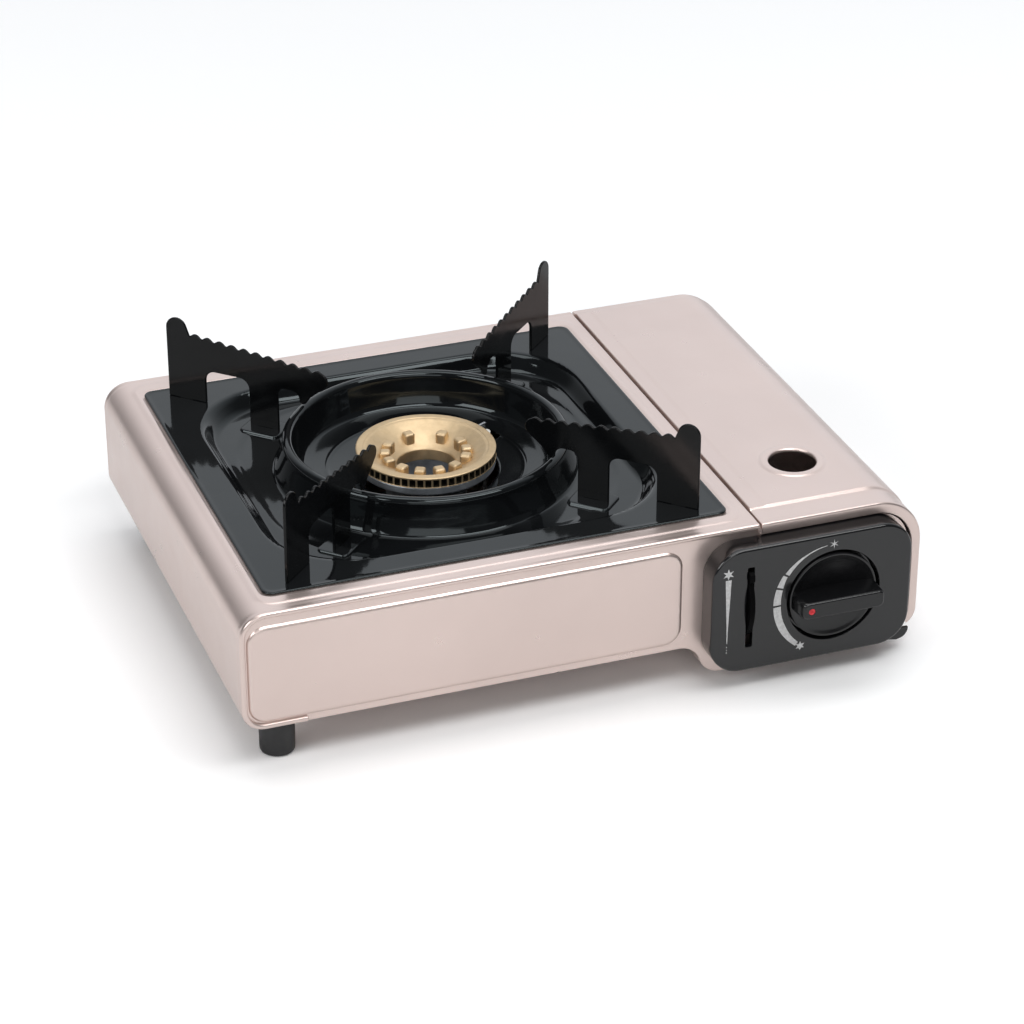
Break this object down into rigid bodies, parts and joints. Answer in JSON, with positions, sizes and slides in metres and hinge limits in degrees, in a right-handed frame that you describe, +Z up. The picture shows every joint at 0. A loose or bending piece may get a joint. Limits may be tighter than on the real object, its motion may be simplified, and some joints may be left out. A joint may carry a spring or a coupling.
{
  "type": "butane cassette stove",
  "caption": "Low tabletop gas stove with a lift-out drip tray, serrated pan supports, brass burner, hinged cartridge lid, control knob and cartridge lock lever.",
  "frame": {"origin": "middle of the bounding box in plan, on the table under the feet", "axes": "+X to the right towards the cartridge lid, +Y from the control panel to the rear, +Z up"},
  "size_m": [0.34, 0.272, 0.129],
  "materials": {
    "case_paint": "champagne metallic, satin",
    "lid_paint": "champagne metallic, satin",
    "tray_enamel": "gloss enamel",
    "support_enamel": "gloss enamel",
    "burner_brass": "brushed",
    "valve_brass": "turned",
    "burner_cast": "cast",
    "regulator_cast": "cast",
    "heat_aluminium": "rolled",
    "panel_plastic": "satin",
    "knob_plastic": "satin",
    "lever_black": "satin",
    "igniter_plastic": "satin",
    "marker_red": "gloss",
    "foot_rubber": "matt",
    "soft_rubber": "matt",
    "wire_sleeve": "silicone sleeve",
    "ceramic": "glazed ceramic",
    "bracket_steel": "zinc plated",
    "screw_steel": "zinc plated",
    "spring_steel": "bright wire",
    "electrode_steel": "bare wire"
  },
  "bodies": {
    "case": {"case_shell": "case_paint", "front_panel": "case_paint", "rear_panel": "case_paint", "base_plate": "case_paint", "bay_partition": "bracket_steel", "regulator_bracket": "bracket_steel", "cartridge_rest": "bracket_steel", "heat_plate": "heat_aluminium", "lid_hinge_rod": "bracket_steel", "burner_cap": "burner_brass", "burner_head": "burner_cast", "burner_bracket": "bracket_steel", "burner_screws": "screw_steel", "mixing_tube": "bracket_steel", "gas_jet": "valve_brass", "regulator_body": "regulator_cast", "diaphragm": "soft_rubber", "diaphragm_cover": "bracket_steel", "diaphragm_spring": "spring_steel", "cover_screws": "screw_steel", "regulator_screws": "screw_steel", "inlet_seal": "soft_rubber", "control_panel": "panel_plastic", "panel_screws": "screw_steel", "lever_bracket": "bracket_steel", "lever_pivot_pin": "bracket_steel", "carriage_spring": "spring_steel", "cartridge_key": "bracket_steel", "igniter_body": "igniter_plastic", "ignition_wire": "wire_sleeve", "electrode_insulator": "ceramic", "electrode_rod": "electrode_steel", "electrode_bracket": "bracket_steel", "foot_front_left": "foot_rubber", "foot_rear_left": "foot_rubber", "foot_front_right": "foot_rubber", "foot_rear_right": "foot_rubber", "base_screws": "screw_steel"},
    "lid": {"cartridge_lid": "lid_paint"},
    "tray": {"drip_tray": "tray_enamel", "pan_support_rear_left": "support_enamel", "pan_support_rear_right": "support_enamel", "pan_support_front_left": "support_enamel", "pan_support_front_right": "support_enamel"},
    "knob": {"control_knob": "knob_plastic", "knob_marker": "marker_red", "valve_spindle": "valve_brass", "igniter_cam": "igniter_plastic"},
    "striker": {"igniter_plunger": "bracket_steel"},
    "lever": {"lock_lever": "lever_black"},
    "carriage": {"cartridge_carriage": "bracket_steel"}
  },
  "joints": [
    {"name": "lid_hinge", "type": "hinge", "parent": "case", "child": "lid", "pos_m": [0.1632, 0.011, 0.015], "axis": [0, 1, 0], "range_deg": [0, 90]},
    {"name": "tray_lift", "type": "slide", "parent": "case", "child": "tray", "axis": [0, 0, 1], "range_m": [0, 0.06]},
    {"name": "knob_turn", "type": "hinge", "parent": "case", "child": "knob", "pos_m": [0.1198, -0.114, 0.04465], "axis": [0, 1, 0], "range_deg": [-50, 90]},
    {"name": "striker_slide", "type": "slide", "parent": "case", "child": "striker", "axis": [1, 0, 0], "range_m": [-0.00201, 0.00361]},
    {"name": "lever_turn", "type": "hinge", "parent": "case", "child": "lever", "pos_m": [0.0764, -0.1005, 0.04625], "axis": [1, 0, 0], "range_deg": [0, 66]},
    {"name": "carriage_slide", "type": "slide", "parent": "case", "child": "carriage", "axis": [0, 1, 0], "range_m": [-0.00655, 0.00001], "deforming": ["carriage_spring"]}
  ],
  "couplings": [
    {"joint": "striker_slide", "follows": "knob_turn", "m_per_rad": 0.0022918},
    {"joint": "carriage_slide", "follows": "lever_turn", "m_per_rad": -0.0056737}
  ]
}
